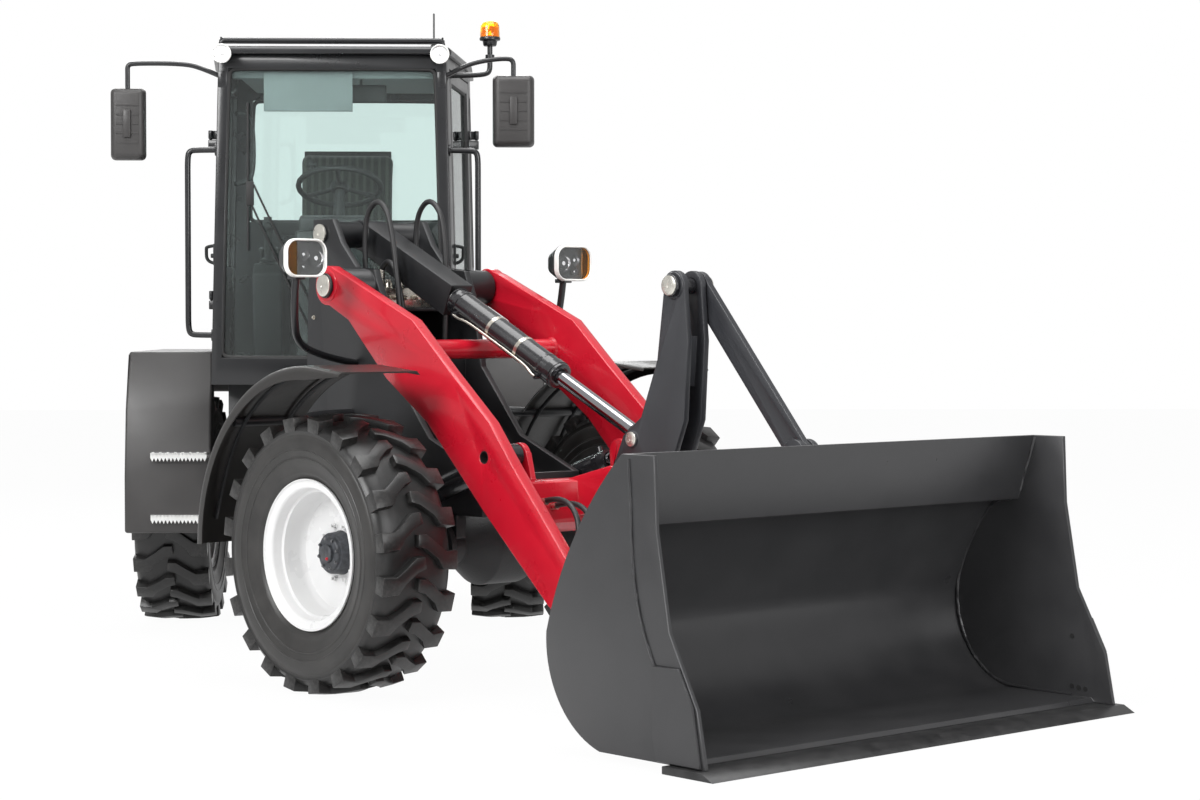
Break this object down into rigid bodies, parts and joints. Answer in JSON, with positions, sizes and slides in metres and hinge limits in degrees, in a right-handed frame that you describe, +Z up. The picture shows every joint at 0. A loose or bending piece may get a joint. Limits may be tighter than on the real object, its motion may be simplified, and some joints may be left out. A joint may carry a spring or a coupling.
{
  "type": "articulated compact wheel loader",
  "caption": "Compact articulated wheel loader with a red boom, parallel tilt linkage, earth bucket, glazed cab and chunky tyres, steered fully left.",
  "frame": {"origin": "middle of the machine's footprint at floor level, as it stands steered fully to the left with its bucket on the ground", "axes": "+X forward along the rear half (cab and engine), +Y to its left, +Z up; the front half points 40 degrees to the left of +X"},
  "size_m": [5.713, 3.9444, 2.732],
  "materials": {
    "red_paint": "gloss",
    "anthracite_paint": "satin",
    "chassis_black": "satin",
    "body_plastic": "matte",
    "cab_paint": "satin",
    "tinted_glass": "gloss",
    "tyre_rubber": "matte",
    "rim_white": "gloss",
    "hub_grey": "satin",
    "pin_steel": "satin",
    "rod_chrome": "polished",
    "cylinder_black": "gloss",
    "seat_fabric": "matte",
    "interior_plastic": "matte",
    "lamp_lens": "gloss",
    "hose_rubber": "matte",
    "cast_grey": "rough",
    "edge_steel": "satin",
    "valve_steel": "satin"
  },
  "bodies": {
    "root": {"rear_axle": "chassis_black", "rear_frame": "chassis_black", "driveline": "chassis_black", "counterweight": "cast_grey", "engine_block": "cast_grey", "cab_frame": "cab_paint", "cab_glass": "tinted_glass", "cab_roof": "cab_paint", "seat_base": "interior_plastic", "seat_cushions": "seat_fabric", "steering_column": "interior_plastic", "control_console": "interior_plastic", "rear_fenders": "body_plastic", "mirrors": "body_plastic", "grab_rails": "cab_paint", "lamps": "lamp_lens"},
    "hood": {"hood": "red_paint", "hood_grille": "chassis_black"},
    "door_right": {"door_right": "cab_paint", "door_right_glass": "tinted_glass"},
    "door_left": {"door_left": "cab_paint", "door_left_glass": "tinted_glass"},
    "front_half": {"front_frame": "chassis_black", "front_axle": "chassis_black", "front_fenders": "body_plastic", "headlamps": "lamp_lens", "valve_block": "valve_steel", "hydraulic_hoses": "hose_rubber"},
    "boom": {"boom": "red_paint", "bellcrank_pin": "pin_steel", "bucket_pins": "pin_steel"},
    "lift_barrels": {"lift_barrels": "cylinder_black"},
    "lift_rods": {"lift_rods": "rod_chrome"},
    "tilt_barrel": {"tilt_barrel": "cylinder_black"},
    "tilt_piston": {"tilt_piston": "rod_chrome"},
    "tilt_rod": {"tilt_rod": "rod_chrome"},
    "bellcrank": {"bellcrank": "anthracite_paint", "link_pin": "pin_steel"},
    "tilt_link": {"tilt_link": "anthracite_paint"},
    "bucket": {"bucket": "anthracite_paint", "cutting_edge": "edge_steel", "quick_coupler": "anthracite_paint"},
    "steer_barrel_right": {"steer_barrel_right": "cylinder_black"},
    "steer_rod_right": {"steer_rod_right": "rod_chrome"},
    "steer_barrel_left": {"steer_barrel_left": "cylinder_black"},
    "steer_rod_left": {"steer_rod_left": "rod_chrome"},
    "wheel_front_right": {"tyre_front_right": "tyre_rubber", "rim_front_right": "rim_white", "hub_front_right": "hub_grey"},
    "wheel_front_left": {"tyre_front_left": "tyre_rubber", "rim_front_left": "rim_white", "hub_front_left": "hub_grey"},
    "wheel_rear_right": {"tyre_rear_right": "tyre_rubber", "rim_rear_right": "rim_white", "hub_rear_right": "hub_grey"},
    "wheel_rear_left": {"tyre_rear_left": "tyre_rubber", "rim_rear_left": "rim_white", "hub_rear_left": "hub_grey"}
  },
  "joints": [
    {"name": "articulation", "type": "hinge", "parent": "root", "child": "front_half", "pos_m": [-0.41445, -1.00925, 0.605], "axis": [0, 0, 1], "range_deg": [-80, 0]},
    {"name": "hood_hinge", "type": "hinge", "parent": "root", "child": "hood", "pos_m": [-1.95245, -1.00925, 1.802], "axis": [0, 1, 0], "range_deg": [0, 60]},
    {"name": "door_right_hinge", "type": "hinge", "parent": "root", "child": "door_right", "pos_m": [-1.45145, -1.62225, 1.88], "axis": [0, 0, -1], "range_deg": [0, 80]},
    {"name": "door_left_hinge", "type": "hinge", "parent": "root", "child": "door_left", "pos_m": [-1.45145, -0.39625, 1.88], "axis": [0, 0, 1], "range_deg": [0, 80]},
    {"name": "lift", "type": "hinge", "parent": "front_half", "child": "boom", "pos_m": [0.03751, -0.63, 1.525], "axis": [0.6428, -0.766, 0], "range_deg": [0, 82]},
    {"name": "lift_barrel_pivot", "type": "hinge", "parent": "front_half", "child": "lift_barrels", "pos_m": [-0.12335, -0.76499, 0.48], "axis": [0.6428, -0.766, 0], "range_deg": [0, 90]},
    {"name": "lift_rod_slide", "type": "slide", "parent": "lift_barrels", "child": "lift_rods", "axis": [0.7246, 0.608, 0.3246], "range_m": [0, 1]},
    {"name": "tilt_barrel_pivot", "type": "hinge", "parent": "front_half", "child": "tilt_barrel", "pos_m": [-0.18464, -0.81641, 1.74], "axis": [0.6428, -0.766, 0], "range_deg": [0, 90]},
    {"name": "tilt_piston_slide", "type": "slide", "parent": "tilt_barrel", "child": "tilt_piston", "axis": [0.6926, 0.5811, -0.4273], "range_m": [-0.35, 0.001]},
    {"name": "tilt_rod_slide", "type": "slide", "parent": "tilt_piston", "child": "tilt_rod", "axis": [0.6926, 0.5811, -0.4273], "range_m": [-0.102, 0.235]},
    {"name": "tilt", "type": "hinge", "parent": "boom", "child": "bucket", "pos_m": [1.42406, 0.53344, 0.19], "axis": [-0.6428, 0.766, 0], "range_deg": [-45, 105]},
    {"name": "crank_tilt", "type": "hinge", "parent": "boom", "child": "bellcrank", "pos_m": [1.0349, 0.20691, 0.782], "axis": [-0.6428, 0.766, 0], "range_deg": [-46, 106]},
    {"name": "link_tilt", "type": "hinge", "parent": "bellcrank", "child": "tilt_link", "pos_m": [1.25553, 0.39203, 1.512], "axis": [0.6428, -0.766, 0], "range_deg": [-46, 106]},
    {"name": "steer_barrel_right_pivot", "type": "hinge", "parent": "root", "child": "steer_barrel_right", "pos_m": [-1.09445, -1.34925, 0.6], "axis": [0, 0, 1], "range_deg": [-23.14, 1]},
    {"name": "steer_rod_right_slide", "type": "slide", "parent": "steer_barrel_right", "child": "steer_rod_right", "axis": [0.9773, 0.212, 0], "range_m": [-0.48396, 0.005]},
    {"name": "steer_barrel_left_pivot", "type": "hinge", "parent": "root", "child": "steer_barrel_left", "pos_m": [-1.09445, -0.66925, 0.6], "axis": [0, 0, 1], "range_deg": [-23.14, 1]},
    {"name": "steer_rod_left_slide", "type": "slide", "parent": "steer_barrel_left", "child": "steer_rod_left", "axis": [0.9851, 0.172, 0], "range_m": [-0.005, 0.48396]},
    {"name": "spin_front_right", "type": "hinge", "parent": "front_half", "child": "wheel_front_right", "pos_m": [0.9135, -0.88055, 0.52158], "axis": [-0.6428, 0.766, 0], "continuous": true},
    {"name": "spin_front_left", "type": "hinge", "parent": "front_half", "child": "wheel_front_left", "pos_m": [-0.05711, 0.27618, 0.52158], "axis": [-0.6428, 0.766, 0], "continuous": true},
    {"name": "spin_rear_right", "type": "hinge", "parent": "root", "child": "wheel_rear_right", "pos_m": [-1.51445, -1.76425, 0.52158], "axis": [0, 1, 0], "continuous": true},
    {"name": "spin_rear_left", "type": "hinge", "parent": "root", "child": "wheel_rear_left", "pos_m": [-1.51445, -0.25425, 0.52158], "axis": [0, 1, 0], "continuous": true}
  ],
  "couplings": [
    {"joint": "lift_barrel_pivot", "follows": "lift", "ratio": 0.53662},
    {"joint": "lift_rod_slide", "follows": "lift", "m_per_rad": 0.63192},
    {"joint": "tilt_barrel_pivot", "follows": "lift", "ratio": 0.83},
    {"joint": "tilt_piston_slide", "follows": "lift", "m_per_rad": -0.242},
    {"joint": "tilt_rod_slide", "follows": "tilt", "m_per_rad": 0.126},
    {"joint": "crank_tilt", "follows": "tilt", "ratio": 1},
    {"joint": "link_tilt", "follows": "tilt", "ratio": 1},
    {"joint": "steer_barrel_right_pivot", "follows": "articulation", "ratio": 0.27675},
    {"joint": "steer_rod_right_slide", "follows": "articulation", "m_per_rad": 0.34303},
    {"joint": "steer_barrel_left_pivot", "follows": "articulation", "ratio": 0.27675},
    {"joint": "steer_rod_left_slide", "follows": "articulation", "m_per_rad": -0.34303}
  ]
}
